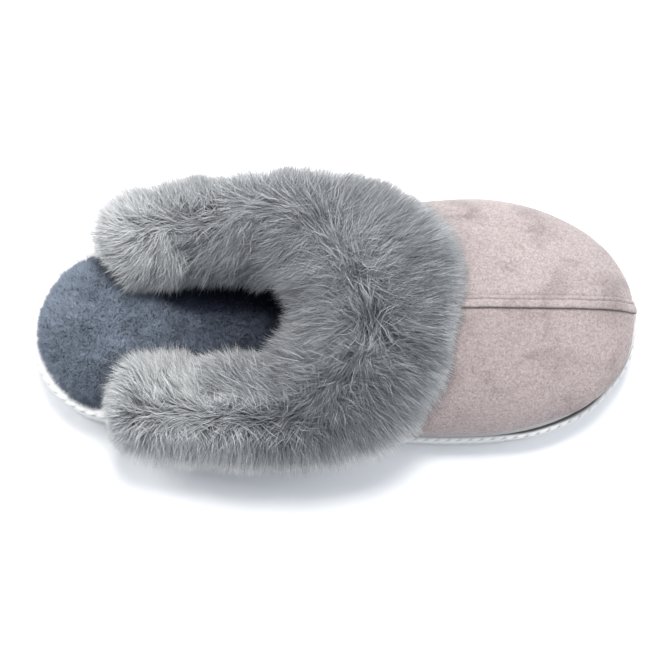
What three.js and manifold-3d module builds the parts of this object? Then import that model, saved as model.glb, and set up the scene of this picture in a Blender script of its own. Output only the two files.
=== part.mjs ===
// Backless house slipper with a fluffy collar, in millimetres.
// +X runs from heel to toe and +Z is up. The origin is on the ground under the middle of the slipper.
import * as THREE from 'three';
import { mergeVertices } from 'three/addons/utils/BufferGeometryUtils.js';
import Module from 'manifold-3d';

// Sole outline: a round heel, straight eased sides and half an ellipse for the toe.
const LENGTH = 264;
const HEEL_RADIUS = 37;
const HEEL_X = HEEL_RADIUS - LENGTH / 2;
const BALL_X = 60;
const BALL_HALF_WIDTH = 53.5;
const BALL_SHIFT = 2;

// Sole heights. The wall of the cup rises from the forefoot to the heel.
const WALL_FORE = 18;
const WALL_HEEL = 23;
const WALL_THICKNESS = 3;
const FLOOR_THICKNESS = 4.5;
const FEATHER_BELOW_WALL = 2;
const GAP = 0.3;

// Footbed layers, measured from the feather line where the upper meets the sole.
const MIDSOLE_TOP = -6;
const BOARD_THICKNESS = 2;
const MEMORY_FOAM_THICKNESS = 5;
const COVER_THICKNESS = 3.5;
const BOARD_INSET = 12;
const FOAM_INSET = 13.5;
const COVER_INSET = 15.5;

// Upper: a domed vamp around a U-shaped mouth that is open towards the heel.
const MOUTH_RADIUS = 24;
const MOUTH_CENTRE_X = -36;
const MOUTH_FRONT_X = MOUTH_CENTRE_X + MOUTH_RADIUS;
const MOUTH_BACK_X = -94;
const MOUTH_FLARE = -2;
const CROWN = 38;
const CROWN_BACK = 20;
const SKIRT = 5.7;

// Depth of each layer of the upper under its outer face: where it starts and where it ends.
const SUEDE = [0, 1.2];
const STIFFENER = [1.5, 2.3];
const PADDING = [2.6, 4.8];
const LINING = [5.1, 7.6];

// Fur collar: how far it reaches from the edge of the mouth, and how high it stands.
const FUR_INWARD = 11;
const FUR_INWARD_BACK = 4;
const FUR_FRONT = 72;
const FUR_SIDE = 42;
const FUR_BACK = 32;
const FUR_RISE = 21;
const FUR_HEM = 1.5;
const FUR_CLEAR = 2.3;
const FUR_LIFT = 3.6;
const FUR_END = 11;
const ROLL_RISE = 6;
const ROLL_FRONT = 40;
const ROLL_SIDE = 9;
// Where the centre seam meets the mouth, as a share of the mouth's half edge to the left of the middle.
const SEAM_AT = 0.008;
const SEAM_STRIP_WIDTH = 4;
const ABOVE_WALL = 0.05;
const THREAD_RADIUS = 0.35;

const RIM_STEPS = 96;
const UPPER_STEPS = 16;
const RISE_STEPS = 9;

const clamp = THREE.MathUtils.clamp;
const lerp = THREE.MathUtils.lerp;
const ease = (t) => THREE.MathUtils.smoothstep(t, 0, 1);

// ---------- Shape of the slipper ----------

function centreY(x) {
  const towardsBall = ease((x + 60) / (BALL_X + 60));
  const towardsToe = ease((x - BALL_X) / (LENGTH / 2 - BALL_X));
  return BALL_SHIFT * (towardsBall - towardsToe);
}

// Half the width of the sole outline, moved inwards by inset.
function halfWidth(x, inset) {
  const heel = HEEL_RADIUS - inset;
  const ball = BALL_HALF_WIDTH - inset;
  if (x < HEEL_X) {
    return Math.sqrt(Math.max(0, heel ** 2 - (x - HEEL_X) ** 2));
  }
  if (x < BALL_X) {
    return lerp(heel, ball, ease((x - HEEL_X) / (BALL_X - HEEL_X)));
  }
  const reach = LENGTH / 2 - BALL_X - inset;
  return ball * Math.sqrt(Math.max(0, 1 - ((x - BALL_X) / reach) ** 2));
}

function wallTop(x) {
  return lerp(WALL_FORE, WALL_HEEL, ease((20 - x) / 90));
}

const featherZ = (x) => wallTop(x) - FEATHER_BELOW_WALL;
const featherInset = (depth) => WALL_THICKNESS + GAP + depth;

// Height of the upper's dome above the feather line, on its centre line.
function crown(x, depth) {
  if (x < MOUTH_FRONT_X) {
    return CROWN - depth - (CROWN - CROWN_BACK) * ease((MOUTH_FRONT_X - x) / 85);
  }
  const reach = LENGTH / 2 - featherInset(depth) - MOUTH_FRONT_X;
  return (CROWN - depth) * Math.sqrt(Math.max(0, 1 - ((x - MOUTH_FRONT_X) / reach) ** 2));
}

function domeZ(x, y, depth) {
  const half = Math.max(halfWidth(x, featherInset(depth)), 1e-6);
  const across = clamp((y - centreY(x)) / half, -1, 1);
  return featherZ(x) + crown(x, depth) * Math.sqrt(1 - across ** 2);
}

// Edge of the mouth, from its front (s = 0) to its two back ends (s = 1 at +Y, s = -1 at -Y).
function mouthEdge(s) {
  const quarter = MOUTH_RADIUS * Math.PI / 2;
  const straight = MOUTH_CENTRE_X - MOUTH_BACK_X;
  const run = Math.abs(s) * (quarter + straight);
  const turn = Math.min(run / MOUTH_RADIUS, Math.PI / 2);
  const back = Math.max(run - quarter, 0);
  const x = MOUTH_CENTRE_X + MOUTH_RADIUS * Math.cos(turn) - back;
  const half = MOUTH_RADIUS * Math.sin(turn) + MOUTH_FLARE * ease(back / straight);
  const side = s < 0 ? -1 : 1;
  return {
    point: new THREE.Vector2(x, centreY(x) + side * half),
    outward: new THREE.Vector2(Math.cos(turn), side * Math.sin(turn)),
    sideways: Math.sin(turn) ** 2,
    back: back / straight,
  };
}

// Feather line of the upper, from the toe (s = 0) to its two back ends.
function featherEdge(s, depth) {
  const inset = featherInset(depth);
  const reach = LENGTH / 2 - inset;
  const backTurn = Math.acos(MOUTH_BACK_X / reach);
  const x = reach * Math.cos(backTurn * Math.abs(s));
  const side = s < 0 ? -1 : 1;
  return new THREE.Vector2(x, centreY(x) + side * halfWidth(x, inset));
}

// A point on a layer of the upper: t runs from 0 at the feather line to 1 at the mouth,
// and t = -1 is the bottom of the skirt inside the sole's wall.
function upperPoint(s, t, depth) {
  const low = featherEdge(s, depth);
  if (t <= 0) {
    return new THREE.Vector3(low.x, low.y, featherZ(low.x) + t * SKIRT);
  }
  const spot = low.lerp(mouthEdge(s).point, 1 - Math.cos(t * Math.PI / 2));
  return new THREE.Vector3(spot.x, spot.y, domeZ(spot.x, spot.y, depth));
}

// ---------- Solids ----------

function signedVolume(points, faces) {
  const cross = new THREE.Vector3();
  let sum = 0;
  for (const [a, b, c] of faces) {
    sum += points[a].dot(cross.crossVectors(points[b], points[c])) / 6;
  }
  return sum;
}

function solid(points, faces) {
  const outward = signedVolume(points, faces) > 0;
  const index = faces.flatMap(([a, b, c]) => (outward ? [a, b, c] : [a, c, b]));
  const geometry = new THREE.BufferGeometry().setFromPoints(points);
  geometry.setIndex(index);
  geometry.computeVertexNormals();
  return geometry;
}

// A closed sheet between two grids of points that have the same rows and columns.
function slab(top, bottom) {
  const rows = top.length;
  const columns = top[0].length;
  const points = [...top.flat(), ...bottom.flat()];
  const at = (side, i, j) => side * rows * columns + i * columns + j;
  const faces = [];
  const quad = (a, b, c, d) => faces.push([a, b, c], [a, c, d]);
  for (let i = 0; i + 1 < rows; i++) {
    for (let j = 0; j + 1 < columns; j++) {
      quad(at(0, i, j), at(0, i + 1, j), at(0, i + 1, j + 1), at(0, i, j + 1));
      quad(at(1, i, j), at(1, i, j + 1), at(1, i + 1, j + 1), at(1, i + 1, j));
    }
    quad(at(0, i, 0), at(1, i, 0), at(1, i + 1, 0), at(0, i + 1, 0));
    const last = columns - 1;
    quad(at(0, i, last), at(0, i + 1, last), at(1, i + 1, last), at(1, i, last));
  }
  for (let j = 0; j + 1 < columns; j++) {
    quad(at(0, 0, j), at(0, 0, j + 1), at(1, 0, j + 1), at(1, 0, j));
    const last = rows - 1;
    quad(at(0, last, j), at(1, last, j), at(1, last, j + 1), at(0, last, j + 1));
  }
  return solid(points, faces);
}

// One ring of points round the sole. insetAt and heightAt are functions of x.
function rim(insetAt, heightAt) {
  const heelEnd = insetAt(-LENGTH / 2) - LENGTH / 2;
  const toeEnd = LENGTH / 2 - insetAt(LENGTH / 2);
  const points = [];
  for (let k = 0; k < RIM_STEPS; k++) {
    const turn = 2 * Math.PI * k / RIM_STEPS;
    const x = lerp(heelEnd, toeEnd, (1 - Math.cos(turn)) / 2);
    const side = turn < Math.PI ? -1 : 1;
    const y = centreY(x) + side * halfWidth(x, insetAt(x));
    points.push(new THREE.Vector3(x, y, heightAt(x)));
  }
  return points;
}

// A closed body made of rings, with the first and the last ring filled across.
function ringBody(rings) {
  const faces = [];
  const count = RIM_STEPS;
  for (let r = 0; r + 1 < rings.length; r++) {
    for (let k = 0; k < count; k++) {
      const next = (k + 1) % count;
      faces.push([r * count + k, r * count + next, (r + 1) * count + next]);
      faces.push([r * count + k, (r + 1) * count + next, (r + 1) * count + k]);
    }
  }
  const fill = (start, up) => {
    const add = (a, b, c) => faces.push(up ? [a, b, c] : [a, c, b]);
    add(start, start + 1, start + count - 1);
    for (let k = 1; k < count / 2; k++) {
      const near = start + k;
      const far = start + count - k;
      if (near + 1 < far - 1) {
        add(near, near + 1, far - 1);
        add(near, far - 1, far);
      } else {
        add(near, near + 1, far);
      }
    }
  };
  fill(0, false);
  fill((rings.length - 1) * count, true);
  return solid(rings.flat(), faces);
}

const wasm = await Module();
wasm.setup();

function toManifold(geometry) {
  const bare = geometry.clone();
  bare.deleteAttribute('normal');
  bare.deleteAttribute('uv');
  const merged = mergeVertices(bare);
  const vertProperties = new Float32Array(merged.attributes.position.array);
  const triVerts = new Uint32Array(merged.index.array);
  return new wasm.Manifold(new wasm.Mesh({ numProp: 3, vertProperties, triVerts }));
}

function fromManifold(manifold) {
  const mesh = manifold.getMesh();
  const geometry = new THREE.BufferGeometry();
  geometry.setAttribute('position', new THREE.BufferAttribute(mesh.vertProperties, 3));
  geometry.setIndex(new THREE.BufferAttribute(mesh.triVerts, 1));
  geometry.computeVertexNormals();
  return geometry;
}

// ---------- Sole ----------

const flat = (value) => () => value;

// A groove bent like a chevron, with its point towards the toe.
function treadGroove(x, half) {
  const width = 2.6;
  const bend = half * 0.35;
  const shape = new THREE.Shape();
  shape.moveTo(x, 0);
  shape.lineTo(x - bend, half);
  shape.lineTo(x - bend - width, half);
  shape.lineTo(x - width, 0);
  shape.lineTo(x - bend - width, -half);
  shape.lineTo(x - bend, -half);
  const cut = new THREE.ExtrudeGeometry(shape, { depth: 3, bevelEnabled: false });
  cut.translate(0, centreY(x), -1.5);
  return cut;
}

function makeOutsole() {
  const cup = ringBody([
    rim(flat(1.5), flat(0)),
    rim(flat(0), flat(1.8)),
    rim(flat(0), wallTop),
    rim(flat(WALL_THICKNESS), wallTop),
    rim(flat(WALL_THICKNESS), flat(FLOOR_THICKNESS)),
  ]);
  let sole = toManifold(cup);
  const grooveXs = [];
  for (let x = 112; x > 30; x -= 9) {
    grooveXs.push(x);
  }
  for (let x = -72; x > -118; x -= 9) {
    grooveXs.push(x);
  }
  for (const x of grooveXs) {
    const half = halfWidth(x, 0) * 0.72 - 4;
    sole = sole.subtract(toManifold(treadGroove(x, half)));
  }
  return fromManifold(sole);
}

// A footbed layer fills the wall at the bare heel and draws in where the upper stands.
const footbedInset = (inset) => (x) => lerp(WALL_THICKNESS + 2 * GAP, inset, ease((x + 105) / 9));

function footbedLayer(insetAt, low, thickness, edge) {
  const bottom = (x) => featherZ(x) + low;
  const top = (x) => bottom(x) + thickness;
  const shoulder = (x) => top(x) - edge;
  return ringBody([
    rim(insetAt, bottom),
    rim(insetAt, shoulder),
    rim((x) => insetAt(x) + edge, top),
  ]);
}

function makeMidsole() {
  const inset = flat(WALL_THICKNESS + GAP);
  return ringBody([
    rim(inset, flat(FLOOR_THICKNESS + GAP)),
    rim(inset, (x) => featherZ(x) + MIDSOLE_TOP),
  ]);
}

const boardLow = MIDSOLE_TOP + GAP;
const foamLow = boardLow + BOARD_THICKNESS + GAP;
const coverLow = foamLow + MEMORY_FOAM_THICKNESS + GAP;

// ---------- Upper ----------

const steps = (from, to, count) => Array.from({ length: count + 1 }, (_, k) => lerp(from, to, k / count));
const sideSteps = (from, to) => steps(from, to, Math.round(Math.abs(to - from) * UPPER_STEPS));
const roundSteps = sideSteps(-1, 1);
const toeSteps = sideSteps(-0.375, 0.375);
const riseSteps = steps(0, 1, RISE_STEPS);
const skirtAndRise = [-1, ...riseSteps];

function upperLayer([outer, inner], alongs, rises) {
  const grid = (depth) => alongs.map((s) => rises.map((t) => upperPoint(s, t, depth)));
  return slab(grid(outer), grid(inner));
}

function makeSuedeHalf(side) {
  const hairline = 0.0015;
  const isOnThisSide = (s) => side * (s - SEAM_AT) > hairline;
  const alongs = [...sideSteps(-1, 1).filter(isOnThisSide), SEAM_AT + side * hairline];
  alongs.sort((a, b) => a - b);
  return upperLayer(SUEDE, alongs, skirtAndRise);
}

// The strip follows the ridge of the vamp at a constant width, over the join of the two halves.
function makeSeamStrip() {
  const rises = [ABOVE_WALL, ...riseSteps.slice(1, 8)];
  const row = (edge, depth) => rises.map((t) => {
    const probe = 0.002;
    const wide = upperPoint(SEAM_AT + probe, t, depth).distanceTo(upperPoint(SEAM_AT - probe, t, depth));
    return upperPoint(SEAM_AT + edge * probe * SEAM_STRIP_WIDTH / wide, t, depth);
  });
  const grid = (depth) => [-1, -0.5, 0, 0.5, 1].map((edge) => row(edge, depth));
  return slab(grid(-GAP - 0.9), grid(-GAP));
}

function thread(points, stretches) {
  const section = new THREE.Shape();
  section.absarc(0, 0, THREAD_RADIUS, 0, 2 * Math.PI);
  return new THREE.ExtrudeGeometry(section, {
    steps: stretches,
    curveSegments: 5,
    extrudePath: new THREE.CatmullRomCurve3(points),
    bevelEnabled: false,
  });
}

// Stitching beside the seam strip, as one line of thread on the left half.
function makeCentreThread() {
  const aside = SEAM_STRIP_WIDTH / 2 + 1;
  const line = riseSteps.slice(1, 8).map((t) => {
    const ridge = upperPoint(SEAM_AT, t, 0);
    const y = ridge.y + aside;
    return new THREE.Vector3(ridge.x, y, domeZ(ridge.x, y, 0) + 2.4 * THREAD_RADIUS);
  });
  return thread(line, 2 * line.length);
}

// ---------- Collar ----------

// Everything about a vertical cut through the collar, at right angles to the edge of the mouth.
// r is the distance outwards from that edge.
function collarCut(s) {
  const { point, outward, sideways, back } = mouthEdge(s);
  const at = (r, z) => new THREE.Vector3(point.x + r * outward.x, point.y + r * outward.y, z);
  const suedeZ = (r, depth = -GAP) => {
    const spot = at(r, 0);
    return domeZ(spot.x, spot.y, depth);
  };
  const overSole = (r) => {
    const spot = at(r, 0);
    return Math.abs(spot.y - centreY(spot.x)) < halfWidth(spot.x, featherInset(-FUR_CLEAR));
  };
  const reach = lerp(FUR_FRONT, lerp(FUR_SIDE, FUR_BACK, ease(back)), sideways);
  let brink = 0;
  while (brink < reach - 6 && overSole(brink)) {
    brink += 0.5;
  }
  const rollReach = Math.min(lerp(ROLL_FRONT, ROLL_SIDE, sideways), brink - 6);
  const rollRise = (r) => ROLL_RISE * Math.sin(Math.PI * clamp(r / rollReach, 0, 1));
  const inward = lerp(FUR_INWARD, FUR_INWARD_BACK, ease((back - 0.8) / 0.2));
  return { at, suedeZ, brink, reach, rollReach, rollRise, back, inward };
}

function makeCollarPadding() {
  const grid = (share) => roundSteps.map((s) => {
    const cut = collarCut(s);
    return steps(0.6, cut.rollReach, 5).map((r) => {
      const rise = 0.8 + share * (1 + cut.rollRise(r));
      return cut.at(r, cut.suedeZ(r) + rise);
    });
  });
  return slab(grid(1), grid(0));
}

function makeCollarThread() {
  const beyondRoll = 1.5;
  const line = roundSteps.map((s) => {
    const cut = collarCut(s);
    const r = cut.rollReach + beyondRoll;
    return cut.at(r, cut.suedeZ(r) + 1.2);
  });
  return thread(line, line.length);
}

const HUG_TURNS = [10, 25, 40, 55, 70, 80, 90];
const LOWEST_LIP = 29;

// The inner face of the fur: from inside the mouth over its edge and down along the suede.
function furInside(s) {
  const cut = collarCut(s);
  const edgeZ = cut.suedeZ(0);
  const lip = -2.5;
  const under = HUG_TURNS.map((degrees) => {
    const r = cut.brink * Math.sin(THREE.MathUtils.degToRad(degrees));
    const spot = cut.at(r, 0);
    const clear = cut.suedeZ(r, -FUR_CLEAR) + FUR_LIFT + cut.rollRise(r);
    spot.z = Math.max(clear, wallTop(spot.x) + FUR_HEM);
    return spot;
  });
  return [
    cut.at(lip, Math.max(edgeZ - 8, LOWEST_LIP + 1)),
    cut.at(lip, edgeZ + 2.5),
    ...under,
  ];
}

// The outer face of the fur: a tilted round from the lip inside the mouth to the outer hem.
function furOutside(s) {
  const cut = collarCut(s);
  const half = (cut.reach + cut.inward) / 2;
  const middle = cut.reach - half;
  const innerZ = cut.suedeZ(0) + 3;
  const outerZ = Math.max(cut.suedeZ(cut.brink) + 4, 2 * WALL_FORE);
  const hang = clamp((cut.reach - cut.brink) / 20, 0, 1);
  const rise = lerp(FUR_RISE, FUR_RISE * 0.78, cut.back);
  const start = lerp(-10, -35, clamp((cut.inward - FUR_INWARD_BACK) / 3, 0, 1));
  return steps(start, lerp(184, 215, hang), HUG_TURNS.length + 1).map((degrees) => {
    const turn = THREE.MathUtils.degToRad(degrees);
    const r = middle - half * Math.cos(turn);
    const tilt = lerp(innerZ, outerZ, (r + cut.inward) / (2 * half));
    const spot = cut.at(r, tilt + rise * Math.sin(turn));
    const aboveSuede = cut.suedeZ(r, -FUR_CLEAR) + FUR_LIFT / 2;
    const floor = r < 0 ? LOWEST_LIP : Math.max(wallTop(spot.x) + FUR_HEM, aboveSuede);
    spot.z = Math.max(spot.z, floor);
    return spot;
  });
}

// The last row of the fur, drawn together and moved back so that the end of the band is round.
function furEnd(row, centre, share, back) {
  return row.map((point) => {
    const drawn = point.clone().lerp(centre, share);
    drawn.x -= back;
    return drawn;
  });
}

function makeCollarFur() {
  const outside = roundSteps.map(furOutside);
  const inside = roundSteps.map(furInside);
  for (const first of [true, false]) {
    const s = first ? -1 : 1;
    const ring = [...furOutside(s), ...furInside(s)];
    const centre = ring.reduce((sum, p) => sum.add(p), new THREE.Vector3()).divideScalar(ring.length);
    const rows = [[outside, furOutside(s)], [inside, furInside(s)]];
    for (const [grid, row] of rows) {
      const ends = [
        furEnd(row, centre, 0.25, FUR_END * 0.7),
        furEnd(row, centre, 0.7, FUR_END),
      ];
      if (first) {
        grid.unshift(ends[1], ends[0]);
      } else {
        grid.push(...ends);
      }
    }
  }
  return slab(outside, inside);
}

// ---------- Assembly ----------

const slipper = new THREE.Group();

function add(name, geometry, color, roughness) {
  const material = new THREE.MeshStandardMaterial({ color, roughness, metalness: 0 });
  const mesh = new THREE.Mesh(geometry, material);
  mesh.name = name;
  slipper.add(mesh);
}

const TAUPE = 0xc2b2ae;
const THREAD_TAUPE = 0xa8958f;
const FUR_GREY = 0x8d9196;
const PLUSH_BLUE = 0x5e6c7c;
const FOAM = 0xe9e2c8;

add('outsole', makeOutsole(), 0xebebe8, 0.6);
add('midsole', makeMidsole(), 0xf0efe9, 0.8);
add('insole_board', footbedLayer(footbedInset(BOARD_INSET), boardLow, BOARD_THICKNESS, 0.3), 0xa98f6c, 0.9);
add('memory_foam', footbedLayer(footbedInset(FOAM_INSET), foamLow, MEMORY_FOAM_THICKNESS, 1.5), FOAM, 0.95);
add('insole_cover', footbedLayer(footbedInset(COVER_INSET), coverLow, COVER_THICKNESS, 1.5), PLUSH_BLUE, 1);
add('toe_stiffener', upperLayer(STIFFENER, toeSteps, riseSteps.slice(0, 5)), 0xd8d4c8, 0.8);
add('topline_tape', upperLayer(STIFFENER, roundSteps, riseSteps.slice(-2)), 0xdedbd4, 0.9);
add('upper_padding', upperLayer(PADDING, roundSteps, skirtAndRise), FOAM, 0.95);
add('upper_lining', upperLayer(LINING, roundSteps, skirtAndRise), PLUSH_BLUE, 1);
add('vamp_suede_left', makeSuedeHalf(1), TAUPE, 0.95);
add('vamp_suede_right', makeSuedeHalf(-1), TAUPE, 0.95);
add('centre_seam_strip', makeSeamStrip(), TAUPE, 0.95);
add('centre_seam_thread', makeCentreThread(), THREAD_TAUPE, 0.8);
add('collar_padding', makeCollarPadding(), FOAM, 0.95);
add('collar_seam_thread', makeCollarThread(), FUR_GREY, 0.8);
add('collar_fur', makeCollarFur(), FUR_GREY, 1);

export default slipper;
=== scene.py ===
# %% [markdown]
# # A fluffy house slipper
#
# The slipper has a white cup sole, a plush footbed, a suede-like vamp in two halves and a long-pile
# collar around the mouth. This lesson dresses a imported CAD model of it: hard shapes keep their CAD
# mesh and get a finish, and soft shapes are made again as cloth, padding and pile.
# Lengths below are in millimetres until they go into a mesh, because a slipper is drawn that way.

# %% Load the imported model
import math

import bpy
import numpy as np
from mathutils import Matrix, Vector


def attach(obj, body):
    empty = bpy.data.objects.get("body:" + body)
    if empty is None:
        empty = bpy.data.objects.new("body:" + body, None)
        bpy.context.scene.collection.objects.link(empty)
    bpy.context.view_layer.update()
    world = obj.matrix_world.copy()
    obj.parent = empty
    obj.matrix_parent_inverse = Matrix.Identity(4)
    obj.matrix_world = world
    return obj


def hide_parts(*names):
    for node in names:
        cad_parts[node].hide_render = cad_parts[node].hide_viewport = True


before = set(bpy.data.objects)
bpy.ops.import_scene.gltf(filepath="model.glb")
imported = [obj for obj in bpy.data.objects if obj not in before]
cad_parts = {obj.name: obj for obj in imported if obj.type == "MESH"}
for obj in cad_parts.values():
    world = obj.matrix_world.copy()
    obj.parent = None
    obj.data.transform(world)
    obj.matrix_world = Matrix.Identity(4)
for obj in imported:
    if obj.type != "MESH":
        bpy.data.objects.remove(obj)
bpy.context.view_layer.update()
bpy.ops.object.select_all(action="DESELECT")
MM = 0.001

# %% [markdown]
# ## Camera, floor and light
#
# A catalogue view of a slipper looks almost straight down with a long lens, so nothing is distorted.
# The floor is a plain white sheet. The main lamp stands behind and above, a second one skims the
# pile from the left, and a pale sky fills the shadows, as a white tent does in a studio.

# %% Camera
AZIMUTH = math.radians(-2.3)
ELEVATION = math.radians(78)
DISTANCE = 0.95
FRAME_WIDTH = 0.290
SENSOR = 36.0

back = Vector((math.sin(AZIMUTH) * math.cos(ELEVATION),
               -math.cos(AZIMUTH) * math.cos(ELEVATION),
               math.sin(ELEVATION)))
target = Vector((-0.002, -0.0045, 0.026))
camera_data = bpy.data.cameras.new("studio_camera")
camera_data.sensor_width = SENSOR
camera_data.lens = SENSOR * DISTANCE / FRAME_WIDTH
camera_data.clip_start = 0.01
camera_data.clip_end = 10
camera = bpy.data.objects.new("studio_camera", camera_data)
camera.location = target + DISTANCE * back
camera.rotation_euler = back.to_track_quat("Z", "Y").to_euler()
bpy.context.scene.collection.objects.link(camera)
bpy.context.scene.camera = camera
print("lens in mm:", round(camera_data.lens, 1))

# %% Lamps and sky
bpy.context.scene.view_settings.view_transform = "Standard"


def lamp(name, place, size, power, tint):
    """Adds a square area lamp that faces the slipper."""
    data = bpy.data.lights.new(name, "AREA")
    data.size = size
    data.energy = power
    data.color = tint
    thing = bpy.data.objects.new(name, data)
    thing.location = place
    thing.rotation_euler = Vector(place).to_track_quat("Z", "Y").to_euler()
    bpy.context.scene.collection.objects.link(thing)


lamp("key_lamp", (0.03, 0.38, 1.19), 0.45, 15.0, (1.0, 0.985, 0.965))
lamp("left_lamp", (-0.95, 0.35, 0.75), 0.6, 8.5, (1.0, 0.99, 0.98))
lamp("fill_lamp", (0.95, -0.1, 0.85), 0.7, 6.0, (0.95, 0.97, 1.0))
sky = bpy.data.worlds.new("pale_sky")
sky.use_nodes = True
sky.node_tree.nodes["Background"].inputs["Color"].default_value = (0.82, 0.89, 1.0, 1)
sky.node_tree.nodes["Background"].inputs["Strength"].default_value = 0.54
bpy.context.scene.world = sky

# %% [markdown]
# ## Shader maths as expressions
#
# A finish is mostly arithmetic on patterns. One small class wraps a socket, so `1 - mask` or
# `0.3 * grain + 0.7` adds the Math nodes by itself. `node` adds any other kind of node.


# %% Shader helper
class Wire:
    """A socket of a node tree that can be calculated with."""

    def __init__(self, tree, socket):
        self.tree, self.socket = tree, socket

    def math(self, operation, *others, clamp=False):
        return maths(self.tree, operation, self, *others, clamp=clamp)

    def __add__(self, other):
        return self.math("ADD", other)

    def __sub__(self, other):
        return self.math("SUBTRACT", other)

    def __rsub__(self, other):
        return maths(self.tree, "SUBTRACT", other, self)

    def __mul__(self, other):
        return self.math("MULTIPLY", other)

    __radd__ = __add__
    __rmul__ = __mul__

    def clamped(self):
        return self.math("ADD", 0.0, clamp=True)

    def between(self, low, high):
        """0 below low, 1 above high, and smooth between them."""
        return node(self.tree, "ShaderNodeMapRange", {"interpolation_type": "SMOOTHSTEP"},
                    {"Value": self, "From Min": low, "From Max": high})[0]

    def __getitem__(self, axis):
        return node(self.tree, "ShaderNodeSeparateXYZ", {}, {0: self})["XYZ".index(axis)]


def maths(tree, operation, *values, clamp=False):
    return node(tree, "ShaderNodeMath", {"operation": operation, "use_clamp": clamp},
                dict(enumerate(values)))[0]


def node(tree, kind, settings, inputs):
    """Adds a node, makes its settings, then fills its sockets with values or wires."""
    made = tree.nodes.new(kind)
    stops = settings.pop("stops", None)
    for name, value in settings.items():
        setattr(made, name, value)
    if stops:
        ramp = made.color_ramp.elements
        while len(ramp) < len(stops):
            ramp.new(0.5)
        for element, (place, colour) in zip(ramp, stops):
            element.position = place
            element.color = (*colour, 1)
    for name, value in inputs.items():
        socket = made.inputs[name]
        if isinstance(value, Wire):
            tree.links.new(value.socket, socket)
        else:
            socket.default_value = value
    return [Wire(tree, out) for out in made.outputs if out.enabled]


def mixed(share, low, high):
    """A colour between low and high."""
    ends = [end if isinstance(end, Wire) else (*end, 1) for end in (low, high)]
    return node(share.tree, "ShaderNodeMix", {"data_type": "RGBA"}, {0: share, 6: ends[0], 7: ends[1]})[0]


def multiplied(one, two):
    """The product of two colours."""
    two = two if isinstance(two, Wire) else (*two, 1)
    return node(one.tree, "ShaderNodeMix", {"data_type": "RGBA", "blend_type": "MULTIPLY"},
                {0: 1.0, 6: one, 7: two})[0]


class Finish:
    """A material with one Principled shader, and the patterns that drive it."""

    def __init__(self, name, **constants):
        self.material = bpy.data.materials.new(name)
        self.material.use_nodes = True
        self.tree = self.material.node_tree
        self.shader = self.tree.nodes["Principled BSDF"]
        for socket, value in constants.items():
            self.shader.inputs[socket.replace("_", " ")].default_value = value
        self.place = node(self.tree, "ShaderNodeTexCoord", {}, {})[3]

    def noise(self, size_mm, detail=2.0, roughness=0.5, stretch=(1, 1, 1), at=None, warp=0.0):
        """Cloudy pattern, 0 to 1, whose patches are about size_mm wide."""
        where = node(self.tree, "ShaderNodeMapping", {}, {0: at or self.place, 3: stretch})[0]
        return node(self.tree, "ShaderNodeTexNoise", {}, {
            "Vector": where, "Scale": 1000 / size_mm, "Detail": detail,
            "Roughness": roughness, "Distortion": warp})[0]

    def drive(self, socket, wire):
        self.tree.links.new(wire.socket, self.shader.inputs[socket])

    def bump(self, height, depth_mm):
        """Turns a 0 to 1 height pattern into relief of depth_mm."""
        normal = node(self.tree, "ShaderNodeBump", {}, {
            "Strength": 1.0, "Distance": depth_mm * MM, "Height": height})[0]
        self.drive("Normal", normal)


print("shader helper ready")

# %% [markdown]
# ## The slipper's own lines
#
# Everything hangs on a few curves: the outline of the sole, the height of its wall, the dome of
# the vamp and the edge of the mouth. They are the same curves the CAD model is lofted from, so
# each soft piece lies exactly where its CAD solid does.

# %% Sole outline and wall
TOE_X = 132.0
HEEL_X = -95.0
HEEL_RADIUS = 37.0
BALL_X = 60.0
BALL_HALF_WIDTH = 53.5
BALL_SHIFT = 2.0


def ease(v):
    v = np.clip(v, 0, 1)
    return v * v * (3 - 2 * v)


def lerp(a, b, t):
    return a + (b - a) * t


def unit(v, least=1e-9):
    """Directions made 1 long. What is shorter than least is only divided by least."""
    return v / np.maximum(np.linalg.norm(v, axis=-1), least)[..., None]


def centre_y(x):
    to_ball = ease((x + 60) / (BALL_X + 60))
    return BALL_SHIFT * (to_ball - ease((x - BALL_X) / (TOE_X - BALL_X)))


def half_width(x, inset):
    x = np.asarray(x, float)
    heel, ball = HEEL_RADIUS - inset, BALL_HALF_WIDTH - inset
    round_heel = np.sqrt(np.maximum(heel ** 2 - (x - HEEL_X) ** 2, 0))
    waist = lerp(heel, ball, ease((x - HEEL_X) / (BALL_X - HEEL_X)))
    ahead = (x - BALL_X) / (TOE_X - BALL_X - inset)
    round_toe = ball * np.sqrt(np.maximum(1 - ahead ** 2, 0))
    return np.where(x < HEEL_X, round_heel, np.where(x < BALL_X, waist, round_toe))


def wall_top(x):
    return lerp(18.0, 23.0, ease((20 - np.asarray(x, float)) / 90))


def outline(inset, count):
    """count points evenly along the sole's outline, from the heel, and their outward directions."""
    turn = np.linspace(0, np.pi, 4000)
    x = -(TOE_X - inset) * np.cos(turn)
    one = np.stack([x, -half_width(x, inset) + centre_y(x)], 1)
    two = np.stack([x, half_width(x, inset) + centre_y(x)], 1)[::-1]
    ring = np.concatenate([one, two[1:]])
    run = np.r_[0, np.cumsum(np.linalg.norm(np.diff(ring, axis=0), axis=1))]
    even = np.linspace(0, run[-1], count, endpoint=False)
    points = np.stack([np.interp(even, run, ring[:, k]) for k in (0, 1)], 1)
    along = unit(np.roll(points, -2, 0) - np.roll(points, 2, 0))
    return points, np.stack([along[:, 1], -along[:, 0]], 1), even


sole_points, _, _ = outline(0, 200)
print("sole outline in mm:", sole_points.min(0).round(1), sole_points.max(0).round(1))

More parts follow.
